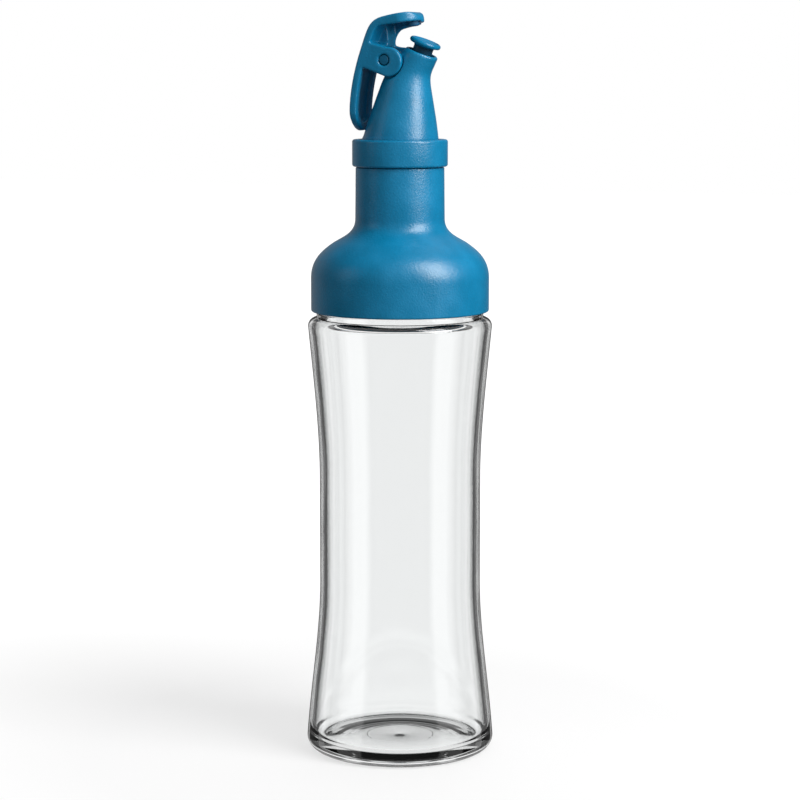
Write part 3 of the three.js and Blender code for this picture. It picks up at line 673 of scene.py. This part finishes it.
def make_lever():
    half, past = lever.width / 2, lever.width / 2 + OVERRUN
    middle, tip_centre, along, up = hook_plane()
    back = lever_back()
    heel = middle - along * lever.underside
    tip = tip_centre + along * (lever.end_radius + OVERRUN)
    inside = [p for p in offset(back, lever.plate) if p[0] < heel.x and p[1] < heel.y]
    blank = slab("rocking_lever", [*back, *inside[::-1], tuple(heel), tuple(tip)], -past, past)
    ear_top, ear_foot = scaled((EAR_TOP_SHARE, EAR_FOOT_SHARE), lever.back_reach, lever.rise)
    ear_outline = [ear_foot, *arc((lever.ear_forward, -lever.ear_low), lever.ear_round,
                                  lever.ear_start, lever.ear_end, 3 * CURVE_STEPS), ear_top]
    ears = [slab("ear", ear_outline, *sides) for sides in ((-past, -ear_inside), (ear_inside, past))]
    slope = (lever.ear_round - lever.ear_low - ear_top[1]) / (lever.ear_forward - ear_top[0])
    front = (-lever.bridge_front, ear_top[1] - (lever.bridge_front + ear_top[0]) * slope)
    bridge = slab("bridge", [
        ear_top, (ear_top[0], ear_top[1] - lever.bridge), (front[0], front[1] - lever.bridge), front,
    ], WELD - half, half - WELD)
    corners = scaled(SKIRT_SHARES, lever.tip_reach, lever.rise)
    edge = spline(corners, 3 * CURVE_STEPS)[::-1]
    buried = [p for p in offset(back, lever.plate / 2) if p[0] < corners[0][0] and p[1] > 0]
    skirt = slab("hook_skirt", buried + edge, 0, past)
    rim_start, rim_end = tip_centre + (up - along / 2) * WELD, tip + (up - along) * WELD
    deep = up * (2 * lever.tip_rim + WELD)
    tip_rim = slab("tip_rim", [tuple(p) for p in (rim_start, rim_end, rim_end - deep, rim_start - deep)],
                   -WELD, half + WELD)
    reach, rise = 2 * lever.back_reach, 2 * lever.drop
    width = slab("lever_width", [(-reach, -rise), (reach, -rise), (reach, rise), (-reach, rise)],
                 -half, half)
    end_centre = Vector((-lever.back_reach, lever.end_radius - lever.drop))
    bore, wide = pin.radius + PIN_GAP, pin.radius + PIN_GAP + lever.hole_chamfer
    pivot = Vector((0, 0))
    combine(combine(blank, [*ears, bridge, skirt, tip_rim]), [width], "INTERSECT")
    cut(blank, [
        round_end("hook_end", tip_centre, along), round_end("paddle_end", end_centre, Vector((0, -1))),
        paddle_recess(end_centre), *hook_pocket(),
        bar("cup", middle, up, lever.cup_radius, -OVERRUN, lever.cup_depth),
        cross_bar("pin_hole", pivot, bore, -past, past),
        cross_bar("hole_edge", pivot, wide, -half, lever.hole_chamfer - half, bore),
        cross_bar("hole_edge", pivot, bore, half - lever.hole_chamfer, half, wide),
    ])
    return lay(soften(blank, LEVER_VOXEL, LEVER_PASSES), hinge)


def make_pad():
    middle, _, _, up = hook_plane()
    radius, r = lever.cup_radius - SEAT_GAP, pad.round
    low, high = -pad.proud - lip.dish, pad.sunk
    outline = [(0, low), (radius / 2, low), *arc((radius - r, low + r), r, -90, 0), (radius, high),
               (0, high)]
    return lay(turned("sealing_pad", outline, SMALL_SIDES), hinge + middle, up)


# Materials

# A colour mix node's inputs and outputs share their names, so they go by number
MIX_FACTOR = 0
MIX_NUMBERS = (2, 3)
MIX_COLOURS = (6, 7)
MIXED_COLOUR = 2
# Nearly all of a noise pattern lies between these
NOISE_LOW = 0.3
NOISE_HIGH = 0.7
# The flow of a dyed plastic into its mould, in millimetres, and the share of the specks in its colour
FLOW_SIZE = 9.0
SPECK_SHARE = 0.35
# How much smoother a handled place is, and how much rougher an untouched one
HANDLED = 0.04
UNTOUCHED = 0.05
PLASTIC_IOR = 1.49
GLASS_IOR = 1.51
# The long waves in a moulded glass wall and their height, in millimetres
WAVE_SIZE = 22.0
WAVE_HEIGHT = 0.12


def linear(hex_colour):
    """An sRGB hex colour as linear red, green, blue and full opacity."""
    parts = [int(hex_colour[i:i + 2], 16) / 255 for i in (1, 3, 5)]
    return (*(p / 12.92 if p <= 0.04045 else ((p + 0.055) / 1.055) ** 2.4 for p in parts), 1)


def add(tree, kind, links=None, stops=(), **settings):
    """Adds a node with its settings. Each input takes a value or another node's socket, and a colour
    ramp takes its stops, each a place and a colour."""
    node = tree.nodes.new(kind)
    for setting, value in settings.items():
        setattr(node, setting, value)
    for socket, value in (links or {}).items():
        if isinstance(value, bpy.types.NodeSocket):
            tree.links.new(value, node.inputs[socket])
        else:
            node.inputs[socket].default_value = value
    for i, (place, colour) in enumerate(stops):
        elements = node.color_ramp.elements
        element = elements[i] if i < len(elements) else elements.new(place)
        element.position = place
        element.color = colour
    return node


def blank_material(name):
    material = bpy.data.materials.new(name)
    material.use_nodes = True
    material.node_tree.nodes.clear()
    return material, material.node_tree


def per_grain(size):
    """The scale of a pattern whose grains are this many millimetres apart."""
    return 1 / (size * METRES)


def moulded_plastic(name, dark, middle, light, roughness, grain, depth, specular=0.5):
    """Injection-moulded plastic: one dyed colour with a faint flow mottle, a fine even grain from
    the mould's face, and a roughness that wanders a little between handled places. The grain's size
    and depth are in millimetres. A real one is 0.05 to 0.1 mm, too fine to show in a view of the
    whole bottle, so it is drawn about ten times as coarse."""
    material, tree = blank_material(name)
    place = add(tree, "ShaderNodeTexCoord").outputs["Object"]
    flow, speck = (
        add(tree, "ShaderNodeTexNoise", {"Vector": place, "Scale": per_grain(size), "Detail": detail})
        .outputs["Fac"] for size, detail in ((FLOW_SIZE, 3), (grain, 2)))
    mottle = add(tree, "ShaderNodeMix", {
        MIX_FACTOR: SPECK_SHARE, MIX_NUMBERS[0]: flow, MIX_NUMBERS[1]: speck}, data_type="FLOAT")
    tones = ((NOISE_LOW, dark), ((NOISE_LOW + NOISE_HIGH) / 2, middle), (NOISE_HIGH, light))
    colour = add(tree, "ShaderNodeValToRGB", {"Fac": mottle.outputs[0]},
                 [(tone, linear(dye)) for tone, dye in tones])
    worn = add(tree, "ShaderNodeMapRange", {
        "Value": flow, "From Min": NOISE_LOW, "From Max": NOISE_HIGH,
        "To Min": roughness - HANDLED, "To Max": roughness + UNTOUCHED})
    bump = add(tree, "ShaderNodeBump", {"Height": speck, "Strength": 1.0, "Distance": depth * METRES})
    shader = add(tree, "ShaderNodeBsdfPrincipled", {
        "Base Color": colour.outputs["Color"], "Roughness": worn.outputs["Result"], "IOR": PLASTIC_IOR,
        "Specular IOR Level": specular, "Normal": bump.outputs["Normal"]})
    add(tree, "ShaderNodeOutputMaterial", {"Surface": shader.outputs["BSDF"]})
    return material


def blown_glass(name):
    """Clear soda-lime glass from a mould: fire-polished, with a very faint long waviness."""
    material, tree = blank_material(name)
    place = add(tree, "ShaderNodeTexCoord").outputs["Object"]
    wave = add(tree, "ShaderNodeTexNoise", {"Vector": place, "Scale": per_grain(WAVE_SIZE), "Detail": 1})
    bump = add(tree, "ShaderNodeBump", {
        "Height": wave.outputs["Fac"], "Strength": 1.0, "Distance": WAVE_HEIGHT * METRES})
    shader = add(tree, "ShaderNodeBsdfPrincipled", {
        "Base Color": linear("#FCFDFD"), "Roughness": 0.0, "IOR": GLASS_IOR, "Transmission Weight": 1.0,
        "Normal": bump.outputs["Normal"]})
    add(tree, "ShaderNodeOutputMaterial", {"Surface": shader.outputs["BSDF"]})
    return material


# Polypropylene dyed sea blue, from a mould with a sparked face: a satin that spreads each light widely
blue_plastic = moulded_plastic(
    "satin_blue_polypropylene", "#006E96", "#0075A0", "#047DAA",
    roughness=0.34, grain=0.7, depth=0.1, specular=0.66)
# The lip is the same plastic from a polished mould, so that the oil leaves it cleanly
lip_plastic = moulded_plastic(
    "smooth_blue_polypropylene", "#006890", "#006F99", "#0276A2", roughness=0.26, grain=0.7, depth=0.008)
# The stem is painted a deeper blue than the disc on it: painted shade for the shadow that the disc casts
# on it
stem_painted_shade = moulded_plastic(
    "blue_polypropylene_painted_shade", "#003A54", "#003F5A", "#00455F", roughness=0.45, grain=0.7, depth=0.008)
# The pin is a plain turned rod, a little darker than the lever round it
pin_plastic = moulded_plastic(
    "darker_blue_pin_plastic", "#005475", "#00597C", "#035F84", roughness=0.36, grain=0.7, depth=0.01)
# Dyed silicone: matt, slightly darker and soft at the edge
pad_rubber = moulded_plastic(
    "matt_blue_silicone", "#084E72", "#0A557C", "#0D5B84", roughness=0.62, grain=0.5, depth=0.015)
# Undyed silicone: milky and matt
ring_rubber = moulded_plastic(
    "milky_silicone", "#C4CCCE", "#CDD4D6", "#D6DCDD", roughness=0.55, grain=0.6, depth=0.01)
clear_glass = blown_glass("clear_bottle_glass")

finish_piece(make_bottle(), clear_glass, "bottle", "glass_bottle")
finish_piece(make_gasket("bottle_ring_seal", "bottle_gasket", BOTTLE_RING_WIDTH), ring_rubber,
             "bottle_seal", "bottle_gasket")
finish_piece(make_shell(), blue_plastic, "shoulder", "shoulder_shell")
finish_piece(make_gasket("neck_ring_seal", "spout_gasket", NECK_RING_WIDTH), ring_rubber,
             "spout", "spout_gasket")
finish_piece(make_spout(), blue_plastic, "spout", "spout_body")
finish_piece(make_collar(), blue_plastic, "collar", "collar_ring")
pouring_lip = make_lip()
finish_piece(pouring_lip, lip_plastic, "spout", "pour_lip")
pouring_lip.data.materials.append(stem_painted_shade)
# The faces below the disc's flare are the stem's, which take the painted shade
for face in pouring_lip.data.polygons:
    place = Vector((face.center.x, face.center.z)) / METRES - mouth
    face.material_index = int(place.dot(head_axis) < lip.stand + lip.flare / 2)
finish_piece(make_pin(), pin_plastic, "spout", "hinge_pin")
finish_piece(make_lever(), blue_plastic, "lever", "lever")
finish_piece(make_pad(), pad_rubber, "lever", "lever_seal")


# The camera, at the photograph's angle

CAMERA_AZIMUTH = math.radians(22.0)
CAMERA_ELEVATION = math.radians(7.92)
CAMERA_DISTANCE = 0.918
# The lens and the sensor in millimetres, and the rest in metres
CAMERA_LENS = 108.0
SENSOR_WIDTH = 36.0
NEAREST_SEEN = 0.01
camera_target = Vector((0, 0, 0.1354))


def seen_from(azimuth, elevation, distance):
    """A place round the target: azimuth 0 looks along +Y, and turns towards +X."""
    return camera_target + distance * Vector((
        math.cos(elevation) * math.sin(azimuth), -math.cos(elevation) * math.cos(azimuth),
        math.sin(elevation)))


def aim(thing, place):
    thing.location = place
    thing.rotation_euler = (camera_target - place).to_track_quat("-Z", "Y").to_euler()


bpy.ops.object.camera_add()
camera = bpy.context.object
camera.data.lens = CAMERA_LENS
camera.data.sensor_width = SENSOR_WIDTH
camera.data.clip_start = NEAREST_SEEN
aim(camera, seen_from(CAMERA_AZIMUTH, CAMERA_ELEVATION, CAMERA_DISTANCE))
bpy.context.scene.camera = camera


# Soft studio lights

def softbox(name, turn, elevation, distance, width, height, power):
    """A soft lamp at a turn from the camera, in degrees, with its sizes in metres and power in watts."""
    bpy.ops.object.light_add(type="AREA")
    light = bpy.context.object
    light.name = name
    light.data.shape = "RECTANGLE"
    light.data.size = width
    light.data.size_y = height
    light.data.energy = power
    light.visible_camera = False
    light.visible_transmission = False
    aim(light, seen_from(CAMERA_AZIMUTH + math.radians(turn), math.radians(elevation), distance))


softbox("right_softbox", turn=54, elevation=36, distance=1.2, width=0.66, height=1.1, power=20.5)
softbox("left_softbox", turn=-75, elevation=20, distance=1.3, width=0.35, height=0.7, power=0.6)
softbox("top_softbox", turn=160, elevation=60, distance=1.3, width=0.8, height=0.8, power=1.0)

# The world: a white backdrop behind the object, and the studio's light and dark walls round it

world = bpy.data.worlds.new("studio")
bpy.context.scene.world = world
world.use_nodes = True
sky = world.node_tree
sky.nodes.clear()
# Each wall's heading from straight ahead, in degrees to the right, with its brightness: what glass
# shows, what a satin face mirrors, and what lights it
GLASS_WALLS = (
    (-180, 0.2), (-132, 0.2), (-130, 1.0), (-97, 1.0), (-95, 0.08), (-74, 0.08), (-72, 1.0), (-60, 1.0),
    (-58, 0.1), (-27, 0.1), (-25, 0.75), (-18, 0.75), (-16, 0.1), (16, 0.1), (18, 0.75), (25, 0.75),
    (27, 0.1), (58, 0.1), (60, 1.0), (72, 1.0), (74, 0.08), (95, 0.08), (97, 1.0), (130, 1.0),
    (132, 0.2), (180, 0.2),
)
GLOSS_WALLS = ((-180, 0.02), (-80, 0.02), (-45, 0.32), (10, 0.32), (30, 0.05), (180, 0.02))
FILL_WALLS = (
    (-180, 0.62), (-145, 0.45), (-110, 0.12), (-70, 0.15), (-40, 0.55), (0, 0.95), (50, 0.42),
    (90, 0.15), (140, 0.42), (180, 0.62),
)
# A satin face that mirrors what is above sees a dark ceiling, and steep ways through glass end in
# grey haze. The ranges are shares of straight up, over which each one takes over.
CEILING_RANGE = (0.3, 0.55)
HAZE_RANGE = (0.4, 0.6)
light = {"ceiling": (0.01, 0.01, 0.01, 1), "haze": (0.8, 0.8, 0.8, 1), "white": (1, 1, 1, 1)}

direction = add(sky, "ShaderNodeTexCoord").outputs["Generated"]
turned_round = add(sky, "ShaderNodeMapping", {
    "Vector": direction, "Rotation": (0, 0, -CAMERA_AZIMUTH)}, vector_type="POINT")
parts = add(sky, "ShaderNodeSeparateXYZ", {"Vector": turned_round.outputs["Vector"]}).outputs
angle = add(sky, "ShaderNodeMath", {0: parts["X"], 1: parts["Y"]}, operation="ARCTAN2").outputs[0]
# The heading runs from 0 to 1, with straight ahead in the middle
heading = add(sky, "ShaderNodeMath", {0: angle, 1: 1 / (2 * math.pi), 2: 0.5},
              operation="MULTIPLY_ADD").outputs[0]
for name, table in (
        ("glass_walls", GLASS_WALLS), ("gloss_walls", GLOSS_WALLS), ("fill_walls", FILL_WALLS)):
    light[name] = add(sky, "ShaderNodeValToRGB", {"Fac": heading}, [
        (turn / 360 + 0.5, (bright, bright, bright, 1)) for turn, bright in table]).outputs["Color"]
upright = add(sky, "ShaderNodeMath", {0: parts["Z"]}, operation="ABSOLUTE").outputs[0]
overhead, steep = (
    add(sky, "ShaderNodeMapRange", {"Value": rise, "From Min": lowest, "From Max": highest})
    .outputs["Result"] for rise, (lowest, highest) in ((parts["Z"], CEILING_RANGE), (upright, HAZE_RANGE)))
path = add(sky, "ShaderNodeLightPath").outputs
mirrored = add(sky, "ShaderNodeMath", {0: path["Glossy Depth"], 1: 0.5},
               operation="GREATER_THAN").outputs[0]
# Each light is one of two others, by the kind of ray or by how steep it is
for name, switch, off, on in (
        ("past_glass", steep, "glass_walls", "haze"),
        ("clear", mirrored, "white", "past_glass"),
        ("gloss", overhead, "gloss_walls", "ceiling"),
        ("dull", path["Is Glossy Ray"], "fill_walls", "gloss"),
        ("bounced", path["Is Singular Ray"], "dull", "clear"),
        ("seen", path["Is Camera Ray"], "bounced", "white")):
    light[name] = add(sky, "ShaderNodeMix", {
        MIX_FACTOR: switch, MIX_COLOURS[0]: light[off], MIX_COLOURS[1]: light[on]},
        data_type="RGBA").outputs[MIXED_COLOUR]
background = add(sky, "ShaderNodeBackground", {"Color": light["seen"], "Strength": 1.0})
add(sky, "ShaderNodeOutputWorld", {"Surface": background.outputs[0]})

# The floor: white paper that keeps the soft shadow at the foot and runs on into the backdrop

# Its own glow at the foot, which grows to white between two distances in metres, and its paint
FLOOR_GLOW = 0.68
GLOW_START = 0.12
GLOW_END = 0.5
FLOOR_LIT = 0.26
FLOOR_HALF = 4.0
bpy.ops.object.select_all(action="DESELECT")
bpy.ops.mesh.primitive_plane_add(size=2 * FLOOR_HALF)
floor = named("studio_floor")
floor.visible_glossy = False
floor.visible_transmission = False
paper, tree = blank_material("white_paper")
lit = add(tree, "ShaderNodeBsdfDiffuse", {"Color": (FLOOR_LIT, FLOOR_LIT, FLOOR_LIT, 1)})
place = add(tree, "ShaderNodeTexCoord").outputs["Object"]
away = add(tree, "ShaderNodeVectorMath", {0: place}, operation="LENGTH").outputs["Value"]
glow = add(tree, "ShaderNodeMapRange", {
    "Value": away, "From Min": GLOW_START, "From Max": GLOW_END, "To Min": FLOOR_GLOW, "To Max": 1.0})
eye = add(tree, "ShaderNodeLightPath").outputs["Is Camera Ray"]
strength = add(tree, "ShaderNodeMath", {0: eye, 1: glow.outputs["Result"]}, operation="MULTIPLY")
bright = add(tree, "ShaderNodeEmission", {"Strength": strength.outputs[0]})
both = add(tree, "ShaderNodeAddShader", {0: lit.outputs[0], 1: bright.outputs[0]})
add(tree, "ShaderNodeOutputMaterial", {"Surface": both.outputs[0]})
floor.data.materials.append(paper)

bpy.context.scene.view_settings.view_transform = "Standard"
